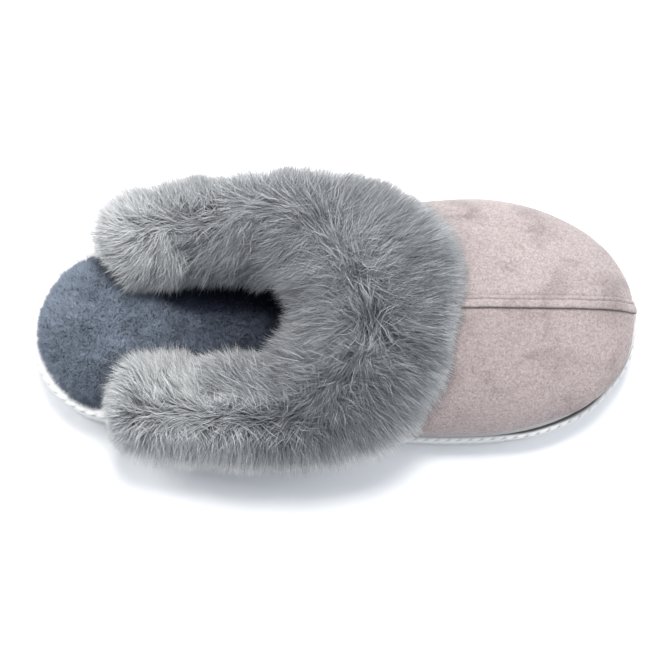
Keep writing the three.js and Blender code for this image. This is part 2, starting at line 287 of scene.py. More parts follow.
# %% Vamp and mouth
MOUTH_RADIUS = 24.0
MOUTH_CENTRE_X = -36.0
MOUTH_FRONT_X = -12.0
MOUTH_BACK_RUN = 58.0
MOUTH_FLARE = -2.0
CROWN = 38.0
CROWN_BACK = 20.0
SKIRT = 5.7
VAMP_INSET = 3.3


def feather_z(x):
    return wall_top(x) - 2


def dome_z(x, y, depth):
    """Height of the vamp's surface at depth below its outer face."""
    inset = VAMP_INSET + depth
    behind = CROWN - depth - (CROWN - CROWN_BACK) * ease((MOUTH_FRONT_X - x) / 85)
    ahead = (x - MOUTH_FRONT_X) / (TOE_X - inset - MOUTH_FRONT_X)
    front = (CROWN - depth) * np.sqrt(np.clip(1 - ahead ** 2, 0, 1))
    crown = np.where(x < MOUTH_FRONT_X, behind, front)
    across = np.clip((y - centre_y(x)) / np.maximum(half_width(x, inset), 1e-6), -1, 1)
    return feather_z(x) + crown * np.sqrt(1 - across ** 2)


def mouth_edge(s):
    """Point on the mouth's edge, outward direction, how sideways it faces, how far back it is."""
    s = np.asarray(s, float)
    quarter = MOUTH_RADIUS * np.pi / 2
    run = np.abs(s) * (quarter + MOUTH_BACK_RUN)
    turn = np.minimum(run / MOUTH_RADIUS, np.pi / 2)
    behind = np.maximum(run - quarter, 0)
    x = MOUTH_CENTRE_X + MOUTH_RADIUS * np.cos(turn) - behind
    half = MOUTH_RADIUS * np.sin(turn) + MOUTH_FLARE * ease(behind / MOUTH_BACK_RUN)
    side = np.sign(s) + (s == 0)
    y = centre_y(x) + side * half
    outward = np.stack([np.cos(turn), side * np.sin(turn)], -1)
    return np.stack([x, y], -1), outward, np.sin(turn) ** 2, behind / MOUTH_BACK_RUN


def feather_edge(s, depth):
    reach = TOE_X - (VAMP_INSET + depth)
    x = reach * np.cos(np.arccos(-94 / reach) * np.abs(s))
    side = np.sign(s) + (s == 0)
    return np.stack([x, centre_y(x) + side * half_width(x, VAMP_INSET + depth)], -1)


def upper_point(s, t, depth):
    """A point of the vamp: s goes round the foot, t from the sole (0) to the mouth (1)."""
    s, t = np.broadcast_arrays(np.asarray(s, float), np.asarray(t, float))
    low, high = feather_edge(s, depth), mouth_edge(s)[0]
    plan = lerp(low, high, (1 - np.cos(np.clip(t, 0, 1) * np.pi / 2))[..., None])
    z = np.where(t > 0, dome_z(plan[..., 0], plan[..., 1], depth),
                 feather_z(low[..., 0]) + t * SKIRT)
    return np.concatenate([plan, z[..., None]], -1)


print("mouth front in mm:", mouth_edge(0)[0].round(1), "height there:",
      dome_z(np.array(-12.0), np.array(0.7), 0).round(1))

# %% [markdown]
# ## From a grid to a cloth panel
#
# Every panel of a slipper is a flat cut of cloth that is pulled over a form. In Blender a grid does
# the same job: it is added flat, its points are moved onto the form, and modifiers give it thickness
# and smoothness. Joining the ends of a grid makes a tube. A tube makes the band, the roll and the pad.


# %% Panel helpers
def select_only(piece):
    bpy.ops.object.select_all(action="DESELECT")
    piece.select_set(True)
    bpy.context.view_layer.objects.active = piece


def corner_places(piece):
    """The places of a piece's corners, in metres."""
    flat = np.empty(len(piece.data.vertices) * 3)
    piece.data.vertices.foreach_get("co", flat)
    return flat.reshape(-1, 3)


def panel(name, points):
    """A grid primitive whose rows and columns are laid on points[row, column], in mm."""
    points = np.asarray(points, float)
    rows, columns = points.shape[:2]
    bpy.ops.mesh.primitive_grid_add(x_subdivisions=columns - 1, y_subdivisions=rows - 1, size=2)
    piece = bpy.context.active_object
    piece.name = piece.data.name = name
    flat = corner_places(piece)
    column = np.rint((flat[:, 0] + 1) / 2 * (columns - 1)).astype(int)
    row = np.rint((flat[:, 1] + 1) / 2 * (rows - 1)).astype(int)
    piece.data.vertices.foreach_set("co", (points[row, column] * MM).ravel())
    piece.data.update()
    return piece


def sew(piece, gap_mm=0.01, turn_outwards=True):
    """Joins edges that meet, closes poles and turns the faces outwards."""
    select_only(piece)
    bpy.ops.object.mode_set(mode="EDIT")
    bpy.ops.mesh.select_all(action="SELECT")
    bpy.ops.mesh.remove_doubles(threshold=gap_mm * MM)
    if turn_outwards:
        bpy.ops.mesh.normals_make_consistent(inside=False)
    bpy.ops.object.mode_set(mode="OBJECT")
    return piece


def apply(piece, kind, **settings):
    """Adds a modifier, makes its settings and applies it."""
    select_only(piece)
    modifier = piece.modifiers.new(kind.lower(), kind)
    for name, value in settings.items():
        setattr(modifier, name, value)
    bpy.ops.object.modifier_apply(modifier=modifier.name)


def finished(piece, finish, angle=None):
    """Smooths a piece, gives it its finish, and ties it to the frame."""
    select_only(piece)
    if angle is None:
        bpy.ops.object.shade_smooth()
    else:
        bpy.ops.object.shade_smooth_by_angle(angle=math.radians(angle))
    piece.data.materials.clear()
    piece.data.materials.append(finish.material)
    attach(piece, "root")
    piece.data.calc_loop_triangles()
    print(piece.name, "triangles:", len(piece.data.loop_triangles))


def ripple(x, y, size, seed):
    """Smooth waves between -1 and 1, the same every run."""
    chance = np.random.default_rng(seed)
    total = np.zeros(np.broadcast(x, y).shape)
    for _ in range(7):
        turn, phase = chance.uniform(0, 2 * np.pi, 2)
        pitch = 2 * np.pi / (size * chance.uniform(0.7, 1.5))
        total = total + np.sin(pitch * (x * np.cos(turn) + y * np.sin(turn)) + phase)
    return total / 3.2


print("panel helpers ready")

# %% [markdown]
# ## Sole: a white cup with a ribbed wall
#
# The sole is one moulding of soft white rubber. Its wall carries long slanting ribs that look like
# twisted cord. The CAD solid keeps the tread underneath.
# A band with the ribs as real relief is wrapped round its wall, because ribs show at the outline,
# where a bump pattern stays flat. Each point of the band also carries how deep in a groove it lies,
# and the finish paints the grooves darker by it: painted shade. The top rows, in the crease under
# the vamp, are painted near black: a painted shadow in the crease.

# %% Ribbed band
RIB_PITCH = 3.4
RIB_SLANT = math.radians(45)
RIB_DEPTH = 0.8

around = 900
ring, outward, run = outline(0, around)
top = wall_top(ring[:, 0])


perimeter = float(run[-1] + run[1])
rib_count = round(perimeter * math.sin(RIB_SLANT) / RIB_PITCH)


def rib_at(z):
    """Height of the ribs, 0 in a groove and 1 on a ridge. A whole number of them goes round."""
    wave = run / perimeter * rib_count - z * math.cos(RIB_SLANT) / RIB_PITCH
    return np.abs(np.sin(np.pi * wave))


under_vamp = ease((ring[:, 0] - 10) / 40)
open_side = 1 - under_vamp * ease((ring[:, 1] + 25) / 20)
wide_rim = ease((ring[:, 0] - 62) / 24) * (1 - ease((ring[:, 0] - 106) / 14)) * ease((-ring[:, 1] - 12) / 20)
profile = []
for share in np.linspace(0, 1, 38):
    z = lerp(2.2, top - 0.9, share)
    rib = rib_at(z)
    flare = (0.9 + 1.3 * wide_rim) * ease((share - 0.3) / 0.7) * open_side
    relief = RIB_DEPTH * rib * ease(share / 0.07) * lerp(0.25, 1.0, open_side)
    profile.append((0.2 + flare + relief, z, 1 - rib))
for outset, drop in ((1.1, 0.45), (0.8, 0.12), (0.2, 0.0)):
    rib = rib_at(top - drop)
    profile.append(((outset + 0.35 * rib) * lerp(0.2, 1.0, open_side) + 1.3 * wide_rim, top - drop,
                    0.5 * (1 - rib)))
# The crease rows under the vamp get a groove value of up to 2. The finish paints them near black as a painted
# shadow in the crease.
RIM = [(-0.5, 0.25), (-1.4, 0.5), (-2.4, 0.4), (-2.95, 0.6), (-3.1, 1.2), (-3.1, 2.4), (-1.6, 2.6)]
for outset, drop in RIM:
    profile.append((outset + 1.3 * wide_rim, top - drop, 2.0 * ease((ring[:, 0] + 85) / 15)))
for outset, z in ((-1.6, 0.9), (0.3, 0.75), (0.75, 1.0), (0.8, 1.6)):
    profile.append((outset, np.full(around, z), np.zeros(around)))
rows = [np.concatenate([ring + outward * np.reshape(o, (-1, 1)), np.reshape(z, (-1, 1))], 1)
        for o, z, _ in profile]
rows.append(rows[0])
grid = np.stack(rows)
grid = np.concatenate([grid, grid[:, :1]], 1)
ribbed_wall = sew(panel("ribbed_wall", grid))

# %% Groove depth as an attribute, for painted shade
known = {tuple(np.rint(point * 100).astype(int)): float(g)
         for row_points, (_, _, groove_shade) in zip(rows, profile) for point, g in zip(row_points, groove_shade)}
depth = [known.get(tuple(spot), 0.0)
         for spot in np.rint(corner_places(ribbed_wall) / MM * 100).astype(int)]
ribbed_wall.data.attributes.new("groove_shade", "FLOAT", "POINT").data.foreach_set("value", depth)
print("mean groove depth:", round(float(np.mean(depth)), 2))

# %% Rubber finish
rubber = Finish("white_rubber", Roughness=0.55, Specular_IOR_Level=0.35)
scuffs = rubber.noise(14, detail=4)
grain = rubber.noise(0.8, detail=2)
# The rubber is made darker over its lowest 6 mm, towards the floor.
darker_near_floor = 1 - rubber.place["Z"].between(0.0, 0.006)
groove_shade = node(rubber.tree, "ShaderNodeAttribute", {"attribute_name": "groove_shade"}, {})[2]
scuffs_and_darker_low = (0.55 * scuffs + 0.25 * grain + 0.25 * darker_near_floor).clamped()
plain = mixed(scuffs_and_darker_low, (0.80, 0.80, 0.79), (0.64, 0.64, 0.63))
# Painted shade: darker in the grooves of the ribs, and near black in the crease rows under the vamp as a
# painted shadow.
ribbed = mixed(groove_shade.between(0.0, 1.0), plain, (0.33, 0.325, 0.315))
rubber.drive("Base Color", mixed(groove_shade.between(1.2, 2.0), ribbed, (0.10, 0.095, 0.09)))
rubber.drive("Roughness", 0.2 * scuffs + 0.45)
rubber.bump(grain, 0.05)
finished(ribbed_wall, rubber, angle=50)

# %% [markdown]
# ## Finishes for the CAD solids that stay
#
# The sole's underside, the foam, the board, the stiffener and the hidden threads have the right
# shape already. They only need a finish of their own: closed-cell foam with tiny cells, pressed
# fibre board with flecks, and a woven look for the stiffener and the tape.


# %% Foam, board, stiffener and thread
def give(node_name, finish):
    """Puts a finish into every material slot of a CAD node."""
    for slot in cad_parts[node_name].material_slots:
        slot.material = finish.material


def foam_finish(name, light, dark, cell_mm):
    foam = Finish(name, Roughness=0.9)
    cells = node(foam.tree, "ShaderNodeTexVoronoi", {"feature": "F1"},
                 {"Vector": foam.place, "Scale": 1000 / cell_mm})[0]
    shade = foam.noise(12, detail=3)
    foam.drive("Base Color", mixed((0.5 * shade + 0.4 * cells).clamped(), light, dark))
    foam.bump(cells, 0.12)
    return foam


board = Finish("pressed_board", Roughness=0.85)
flecks = board.noise(1.2, detail=4, stretch=(0.5, 1.6, 1))
board.drive("Base Color", mixed(flecks.between(0.35, 0.7), (0.45, 0.32, 0.19), (0.23, 0.15, 0.08)))
board.bump(flecks, 0.08)


def woven_finish(name, light, dark, thread_mm):
    cloth = Finish(name, Roughness=0.85)
    warp = (cloth.place["X"] * (2 * math.pi / (thread_mm * MM))).math("SINE")
    weft = (cloth.place["Y"] * (2 * math.pi / (thread_mm * MM))).math("SINE")
    weave = 0.25 * warp * weft + 0.5 + 0.3 * (cloth.noise(6, detail=3) - 0.5)
    cloth.drive("Base Color", mixed(weave.clamped(), dark, light))
    cloth.bump(weave, 0.1)
    return cloth


thread = Finish("spun_thread", Roughness=0.7)
twist = ((thread.place["X"] + thread.place["Y"] + thread.place["Z"]) * 9000.0).math("SINE")
thread.drive("Base Color", mixed(0.35 * twist + 0.5, (0.24, 0.24, 0.245), (0.42, 0.42, 0.42)))
thread.bump(0.5 * twist + 0.5, 0.06)

midsole_foam = foam_finish("midsole_foam", (0.74, 0.74, 0.70), (0.60, 0.60, 0.56), 0.9)
soft_foam = foam_finish("soft_foam", (0.20, 0.215, 0.235), (0.11, 0.12, 0.135), 1.4)
stiffener = woven_finish("stiffener_cloth", (0.24, 0.24, 0.25), (0.13, 0.13, 0.14), 1.1)
give("outsole", rubber)
give("midsole", midsole_foam)
for name in ("memory_foam", "upper_padding", "collar_padding"):
    give(name, soft_foam)
give("insole_board", board)
for name in ("toe_stiffener", "topline_tape"):
    give(name, stiffener)
give("collar_seam_thread", thread)
print("CAD solids that keep their shape: 9")

# %% [markdown]
# ## Vamp: two halves of brushed microsuede
#
# The vamp is cut in two halves that meet in one seam from the collar to the toe. Padding behind it
# swells it over the wall of the sole, and the seam draws it in a little. Each half is a grid laid on
# the form with that swelling added, then made 0.9 mm thick. This pulled cloth is modelled straight
# on its form, and no simulation is run on it.

# %% Suede halves
SEAM_AT = 0.008
SUEDE_DEPTH = 0.15
SUEDE_THICKNESS = 0.9


def swelling(s, points):
    """How far the padding pushes the vamp outwards, in mm, and the small waves of the cloth."""
    x, y, z = points[..., 0], points[..., 1], points[..., 2]
    above = z - wall_top(x)
    lower_side = ease((-y - 5) / 30) * ease((x + 20) / 60)
    toe = ease((x - 92) / 26)
    puff = 3.3 + 1.1 * lower_side * (1 - toe) + toe * (1.2 + 0.7 * lower_side)
    puff = puff + 1.6 * lower_side * ease((x - 88) / 14) * (1 - ease((x - 122) / 8))
    over_wall = puff * ease(above / 4.5) * (1 - 0.75 * ease((above - 5) / 24))
    # The cloth's own fold at the lower toe: a change of shape only, not of colour.
    cloth_fold_and_collar_shadow = 0.55 * lower_side * toe * np.exp(-((above - 7.5) / 1.6) ** 2)
    waves = 0.22 * ripple(x, y, 34, 11) + 0.08 * ripple(x, y, 12, 12)
    pinch = 1.1 * np.exp(-((above - 0.6) / 1.3) ** 2)
    return over_wall + cloth_fold_and_collar_shadow - pinch + waves * ease(above / 6)


def vamp_surface(s, t, depth):
    """The vamp's cloth at a place, with its swelling, in mm."""
    points = upper_point(s, t, depth)
    step = 1e-3
    along = upper_point(s + step, t, depth) - upper_point(s - step, t, depth)
    t_low, t_high = np.maximum(t - step, 0.0), np.minimum(t + step, 1.0)
    up = upper_point(s, t_high, depth) - upper_point(s, t_low, depth)
    level = (np.asarray(t) <= 0.0)[..., None]
    normal = np.where(level, 0.0, unit(np.cross(along, up)))
    return points + normal * swelling(s, points)[..., None]


def suede_half(name, seam_s, end_s):
    along = lerp(seam_s, end_s, np.linspace(0, 1, 120) ** 1.25)
    rise = np.r_[-1.0, -0.4, np.linspace(0, 1, 64) ** 1.15]
    s, t = np.meshgrid(along, rise)
    points = vamp_surface(s, t, SUEDE_DEPTH)
    from_seam = np.linalg.norm(points[..., :2] - points[:, :1, :2], axis=-1)
    drawn_in = 0.9 * np.exp(-((from_seam - 2.2) / 1.3) ** 2) * (t > 0.01)
    points[..., 2] -= drawn_in
    half = panel(name, points)
    apply(half, "SOLIDIFY", thickness=SUEDE_THICKNESS * MM, offset=-1 if seam_s < end_s else 1)
    return half


suede_left = suede_half("suede_left", SEAM_AT, 1.0)
suede_right = suede_half("suede_right", SEAM_AT, -1.0)
print("suede halves made")

# %% [markdown]
# ## Suede finish
#
# Microsuede is a dense nap of very short fibres. It has no gloss, it looks paler where it turns away
# from you, and a finger leaves soft darker and lighter marks in it. Sheen gives the pale edge. Two
# sizes of cloud give the finger marks, and a fine speckle gives the fibres. The right half gets a
# darker copy of the same finish: painted shade, for the side of the vamp away from the main lamp.

# %% Suede finish
def suede_finish(name, light, dark):
    """Brushed nap: rare soft finger marks, and a fine speckle of light and dark fibres."""
    suede = Finish(name, Roughness=0.95, Specular_IOR_Level=0.15, Sheen_Weight=0.35,
                   Sheen_Roughness=0.5, Sheen_Tint=(1.0, 0.95, 0.93, 1))
    marks = suede.noise(26, detail=2, roughness=0.5, stretch=(1, 1.4, 1), warp=0.5)
    smudges = suede.noise(9, detail=3, roughness=0.6, warp=1.0)
    fibres = suede.noise(0.7, detail=3, roughness=0.8)
    specks = suede.noise(1.3, detail=2, roughness=0.7)
    nap = 0.5 * marks.between(0.46, 0.72) + 0.38 * smudges.between(0.54, 0.74) + 0.1 * marks
    grain = (0.6 * fibres.between(0.3, 0.7) + 0.4 * specks.between(0.3, 0.7)).clamped()
    brushed = mixed(nap.clamped(), light, dark)
    pale = multiplied(brushed, (1.3, 1.3, 1.3))
    deep = multiplied(brushed, (0.62, 0.61, 0.61))
    suede.drive("Base Color", mixed(grain, deep, pale))
    suede.bump(0.6 * fibres + 0.4 * specks, 0.3)
    return suede


suede = suede_finish("brushed_suede", (0.405, 0.345, 0.334), (0.225, 0.183, 0.178))
# The right half's darker colours are painted shade, for the side away from the main lamp.
suede_right_painted_shade = suede_finish("brushed_suede_right_painted_shade", (0.365, 0.303, 0.294), (0.215, 0.174, 0.168))
finished(suede_left, suede)
finished(suede_right, suede_right_painted_shade)


for half, solid in ((suede_left, "vamp_suede_left"), (suede_right, "vamp_suede_right")):
    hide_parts(solid)

# %% [markdown]
# ## Centre seam: a lapped and top-stitched fold
#
# The left half is folded under along its edge and lapped over the right half, so the seam is a
# raised band about 4 mm wide. Its lower edge is a round fold with a deep crease under it. One row of
# stitches runs along its upper edge and presses a small groove into the cloth. The band is a grid
# rolled up into a closed strip, and the stitches are one short thread copied along the groove.


# %% Lapped band
def seam_point(t, offset, height):
    """A point beside the centre seam: offset to the left and height above the cloth, in mm."""
    t = np.asarray(t, float)
    probe = 0.002
    here = upper_point(SEAM_AT + probe, t, SUEDE_DEPTH)
    there = upper_point(SEAM_AT - probe, t, SUEDE_DEPTH)
    width = np.linalg.norm(here - there, axis=-1) / (2 * probe)
    s = SEAM_AT + offset / width
    near_s, near_t = 0.4 / width, 0.004
    point = vamp_surface(s, t, SUEDE_DEPTH)
    side = vamp_surface(s + near_s, t, SUEDE_DEPTH) - vamp_surface(s - near_s, t, SUEDE_DEPTH)
    ahead = vamp_surface(s, t + near_t, SUEDE_DEPTH) - vamp_surface(s, t - near_t, SUEDE_DEPTH)
    normal = unit(np.cross(side, ahead))
    normal *= np.sign(normal[..., 2:3])
    return point + normal * np.reshape(height, (-1, 1))


BAND = [(-1.7, -0.9), (-1.9, -0.1), (-2.3, 0.35), (-2.35, 0.85), (-1.95, 1.3), (-1.2, 1.45), (-0.3, 1.35),
        (0.5, 1.1), (1.0, 0.75), (1.35, 0.1), (1.7, 0.5), (2.2, 0.6), (2.8, 0.3), (3.2, -0.25),
        (2.4, -0.7), (0.0, -0.9)]
seam_t = np.r_[0.001, 0.003, 0.006, np.linspace(0.01, 0.8, 110)]
wobble = 0.12 * ripple(seam_t * 300, 0 * seam_t, 16, 5)
rows = [seam_point(seam_t, offset + 0.5 * wobble, height + wobble * (height > 0))
        for offset, height in BAND]
rows.append(rows[0])
band = panel("centre_seam_band", np.stack(rows))
sew(band, turn_outwards=False)
select_only(band)
bpy.ops.object.mode_set(mode="EDIT")
bpy.ops.mesh.select_all(action="DESELECT")
bpy.ops.mesh.select_mode(type="EDGE")
bpy.ops.mesh.select_non_manifold()
bpy.ops.mesh.fill()
bpy.ops.mesh.select_all(action="SELECT")
bpy.ops.mesh.normals_make_consistent(inside=False)
bpy.ops.object.mode_set(mode="OBJECT")
finished(band, suede, angle=60)
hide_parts("centre_seam_strip")

# %% Stitches
STITCH_PITCH = 3.0
STITCH_LENGTH = 2.3
STITCH_RADIUS = 0.3
fine_t = np.linspace(0.02, 0.8, 600)
line = seam_point(fine_t, 1.35, np.full(600, 0.32))
travel = np.r_[0, np.cumsum(np.linalg.norm(np.diff(line, axis=0), axis=1))]


def along_line(distance):
    return np.array([np.interp(distance, travel, line[:, k]) for k in range(3)])


bpy.ops.object.select_all(action="DESELECT")
stitches = []
for start in np.arange(1.5, travel[-1] - STITCH_LENGTH, STITCH_PITCH):
    a, b = along_line(start) * MM, along_line(start + STITCH_LENGTH) * MM
    middle, way = Vector((a + b) / 2), Vector(b - a)
    bpy.ops.mesh.primitive_uv_sphere_add(segments=6, ring_count=6, radius=1, location=middle)
    stitch = bpy.context.active_object
    stitch.scale = (STITCH_RADIUS * MM, STITCH_RADIUS * MM, way.length / 2)
    stitch.rotation_euler = way.to_track_quat("Z", "Y").to_euler()
    stitches.append(stitch)
bpy.ops.object.select_all(action="DESELECT")
for stitch in stitches:
    stitch.select_set(True)
bpy.context.view_layer.objects.active = stitches[0]
bpy.ops.object.transform_apply(location=True, rotation=True, scale=True)
bpy.ops.object.join()
seam_stitches = bpy.context.active_object
seam_stitches.name = seam_stitches.data.name = "seam_stitches"
seam_thread = Finish("seam_thread", Roughness=0.7, Sheen_Weight=0.1)
strands = ((seam_thread.place["X"] + 2.0 * seam_thread.place["Y"]) * 12000.0).math("SINE")
seam_thread.drive("Base Color", mixed(0.4 * strands + 0.5, (0.20, 0.155, 0.15), (0.33, 0.27, 0.265)))
seam_thread.bump(0.5 * strands + 0.5, 0.05)
finished(seam_stitches, seam_thread)
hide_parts("centre_seam_thread")
print("stitches:", len(stitches))

# %% [markdown]
# ## Footbed: a padded insole under plush
#
# The insole is memory foam covered in short plush. At the bare heel the pad swells over the rim of
# the cup. A closed flat pad is drawn first, slightly too small. Cloth with air pressure inside then
# swells it like stuffing does, and the swelling is capped so that it stays in the cup. The pile is
# planted on the swollen mesh afterwards.


# %% Pad before stuffing
def footbed_inset(x):
    return lerp(1.4, 15.5, ease((x + 108) / 15))


pad_x = -7.05 - 123.5 * np.cos(np.linspace(0, np.pi, 96))
across = np.cos(np.linspace(0, np.pi, 19))
pad_rows = []
for x in pad_x:
    wide = float(half_width(x, footbed_inset(x)))
    base = float(feather_z(x)) + 1.9 + 0.7 * float(ease((-88 - x) / 12))
    thick = 4.6 + 2.4 * float(ease((-66 - x) / 30))
    plump = (1 - np.abs(across) ** 4) ** 0.5
    upper = np.stack([np.full(19, x), centre_y(x) + wide * across, base + thick * (0.35 + 0.65 * plump)], 1)
    lower = np.stack([np.full(19, x), centre_y(x) + wide * across[::-1], base + 0 * across], 1)
    pad_rows.append(np.concatenate([upper, lower, upper[:1]]))
insole_pad = sew(panel("insole_pad", np.array(pad_rows)), gap_mm=0.05)


# %% Stuffing by cloth simulation
def stuff(piece, voxel_mm, pressure, cap_mm):
    """Swells a closed piece with cloth pressure, moving no point further than cap_mm."""
    apply(piece, "REMESH", mode="VOXEL", voxel_size=voxel_mm * MM, adaptivity=0.0)
    before = corner_places(piece)
    select_only(piece)
    cloth = piece.modifiers.new("stuffing", "CLOTH")
    cloth.settings.use_pressure = True
    cloth.settings.uniform_pressure_force = pressure
    cloth.settings.effector_weights.gravity = 0
    cloth.settings.quality = 5
    cloth.point_cache.frame_start = 1
    cloth.point_cache.frame_end = 20
    for number in range(1, 21):
        bpy.context.scene.frame_set(number)
    bpy.ops.object.modifier_apply(modifier=cloth.name)
    bpy.context.scene.frame_set(1)
    moved = corner_places(piece) - before
    far = np.linalg.norm(moved, axis=1)
    moved *= np.minimum(1, cap_mm * MM / np.maximum(far, 1e-9))[:, None]
    piece.data.vertices.foreach_set("co", (before + moved).ravel())
    print(piece.name, "swelled at most, mm:", round(min(far.max() / MM, cap_mm), 2))
    apply(piece, "SMOOTH", factor=0.5, iterations=3)
    apply(piece, "SUBSURF", levels=1, render_levels=1)


stuff(insole_pad, voxel_mm=3.0, pressure=4.0, cap_mm=2.2)

# %% Plush finish for woven ground
plush_ground = Finish("plush_ground", Roughness=1.0, Specular_IOR_Level=0.1, Sheen_Weight=0.2,
                      Sheen_Roughness=0.5)
tufts = plush_ground.noise(1.1, detail=3, roughness=0.7)
clouds = plush_ground.noise(9, detail=3)
plush_ground.drive("Base Color", mixed((0.6 * tufts + 0.4 * clouds).between(0.3, 0.7),
                                       (0.05, 0.06, 0.08), (0.14, 0.17, 0.21)))
plush_ground.bump(tufts, 0.7)
finished(insole_pad, plush_ground)
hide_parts("insole_cover")

# %% [markdown]
# ## Lining of the vamp
#
# Inside, the vamp is lined with the same plush as the footbed. You look at it from the heel, into
# the dark end of the slipper. It is a grid laid on the inner form, roughened so that no edge or
# highlight gives it away as a smooth shell, and thickened towards the foot.

# %% Lining
LINING_DEPTH = 5.4
s, t = np.meshgrid(np.linspace(-1, 1, 160), np.r_[-0.9, -0.4, np.linspace(0, 0.985, 50)])
points = upper_point(s, t, LINING_DEPTH)
roughen = 0.35 * ripple(s * 260, t * 90, 3.2, 21) + 0.4 * ripple(s * 260, t * 90, 9, 22)
towards = unit(np.array([20.0, 0.0, 24.0]) - points)
points = points + towards * (roughen * np.clip(1 - np.abs(s), 0, 0.1) / 0.1)[..., None]
plush_lining = panel("plush_lining", points)
apply(plush_lining, "SOLIDIFY", thickness=1.8 * MM, offset=0)
finished(plush_lining, plush_ground)
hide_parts("upper_lining")

# %% [markdown]
# ## Collar: the padded roll under the fur
#
# The collar is a strip of long-pile fabric. It is sewn to the vamp, folded over a soft roll and
# tucked into the mouth. The roll is what the pile stands on, so it is smaller than the fluffy
# outline by the depth of the pile, and it ends in a round cap beside the heel. A row of points round
# the roll is worked out for each place along the mouth. `place` runs from one heel end, through 0
# at the front, to the other heel end, and anything beyond 1 belongs to the caps. A strip of the same
# cloth is folded over each cut end of the vamp, so that its foam is closed in.

# %% Shape of the roll
FUR_INWARD, FUR_INWARD_BACK = 11.0, 4.0
FUR_FRONT, FUR_SIDE, FUR_HEEL = 72.0, 42.0, 37.0
FUR_RISE = 21.0
PILE_SIDEWAYS, PILE_FRONT, PILE_UP = 12.0, 17.0, 9.0
CAP_LENGTH = 3.0
CAP_SHARE = 0.1
TURNS = np.radians(np.linspace(-35, 205, 49))


def roll_row(place):
    """Points round the outer face of the roll, and under it, at one place along the mouth."""
    s = float(np.clip(place, -1, 1))
    edge, outward, sideways, behind = (np.asarray(v, float) for v in mouth_edge(s))
    reach = lerp(FUR_FRONT, lerp(FUR_SIDE, FUR_HEEL, ease(behind)), sideways)
    inward = lerp(FUR_INWARD, FUR_INWARD_BACK, ease((behind - 0.8) / 0.2))
    full_half = (reach + inward) / 2
    middle = reach - full_half
    half = full_half - lerp(PILE_FRONT, PILE_SIDEWAYS, sideways)

    def cloth_z(r, depth=0.0):
        return dome_z(edge[0] + r * outward[0], edge[1] + r * outward[1], depth)

    tries = np.arange(0, reach - 6, 0.5)
    spots_x, spots_y = edge[0] + tries * outward[0], edge[1] + tries * outward[1]
    over = np.abs(spots_y - centre_y(spots_x)) < half_width(spots_x, 1.0)
    brink = float(tries[over][-1]) if over.any() else 0.0
    inner_z = float(cloth_z(np.array(0.0))) + 3
    outer_z = max(float(cloth_z(np.array(brink))) + 4, 36.0)
    rise = lerp(FUR_RISE, FUR_RISE * 0.78, behind) - PILE_UP
    r = middle - half * np.cos(TURNS)
    z = lerp(inner_z, outer_z, (r + inward) / (2 * full_half)) + rise * np.sin(TURNS)
    z = np.maximum(z, np.where((r > 2) & (r < brink), cloth_z(r) + 1.5, 22.0))
    under_r = np.linspace(min(brink, r[-1]) - 1.0, 1.5, 8)
    under_z = np.maximum(cloth_z(under_r) + 1.0, 22.0)
    all_r, all_z = np.r_[r, under_r], np.r_[z, under_z]
    beyond = min(max((abs(place) - 1) / CAP_SHARE, 0), 1)
    shrink = math.sqrt(max(1 - beyond ** 2, 0))
    centre_r, centre_z = middle, float(z.mean())
    all_r = centre_r + (all_r - centre_r) * shrink
    all_z = centre_z + (all_z - centre_z) * shrink
    near_end = float(ease((abs(place) - 0.85) / 0.15))
    shift = near_end * (0.5 if place > 0 else 2.0 * ease(all_r / 12))
    x = edge[0] + all_r * outward[0] - beyond * CAP_LENGTH + shift
    return np.stack([x, edge[1] + all_r * outward[1], all_z], 1)


cap = CAP_SHARE * np.sin(np.linspace(np.pi / 2, 0, 9)[:-1])
places = np.r_[-1 - cap, np.linspace(-1, 1, 141), 1 + cap[::-1]]
roll_rows = np.stack([roll_row(place) for place in places])
loops = np.concatenate([roll_rows, roll_rows[:, :1]], 1)
collar_roll = sew(panel("collar_roll", loops), gap_mm=0.05)


# %% Binding over the ends of the vamp
BINDING = [(1.0, -87.0), (1.0, -90.5), (1.0, -93.5), (0.95, -95.0), (0.6, -95.9), (0.0, -96.2), (-0.6, -95.9),
           (-0.95, -95.0), (-1.0, -93.5), (-1.0, -90.5), (-1.0, -87.0)]


def heel_binding(name, side):
    """A tape folded over the cut end of the vamp, from the sole up to the mouth."""
    rise = np.linspace(0, 1, 30)
    outer, inner = vamp_surface(side, rise, -0.8), upper_point(side, rise, 7.3)
    middle, half = (outer + inner) / 2, (outer - inner) / 2
    tip = middle[-1:] + half[-1:] * 0.55 + [[0.0, -side * 1.0, 0.0]]
    middle = np.concatenate([middle, tip])
    half = np.concatenate([half, half[-1:] * 0.4])
    rows = []
    for across, x in BINDING:
        row = middle + half * across
        row[:, 0] = x
        rows.append(row)
    binding = panel(name, np.stack(rows))
    apply(binding, "SOLIDIFY", thickness=0.8 * MM, offset=0)
    return binding


binding_left = heel_binding("heel_binding_left", 1.0)
binding_right = heel_binding("heel_binding_right", -1.0)

# %% Backing finish
fur_backing = Finish("fur_backing", Roughness=1.0, Specular_IOR_Level=0.1)
knit = fur_backing.noise(1.5, detail=3, roughness=0.7)
shade = fur_backing.noise(12, detail=2)
fur_backing.drive("Base Color", mixed((0.6 * knit + 0.4 * shade).between(0.3, 0.7),
                                      (0.03, 0.033, 0.037), (0.075, 0.08, 0.088)))
fur_backing.bump(knit, 0.6)
finished(collar_roll, fur_backing)
for binding in (binding_left, binding_right):
    finished(binding, fur_backing)
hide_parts("collar_fur")
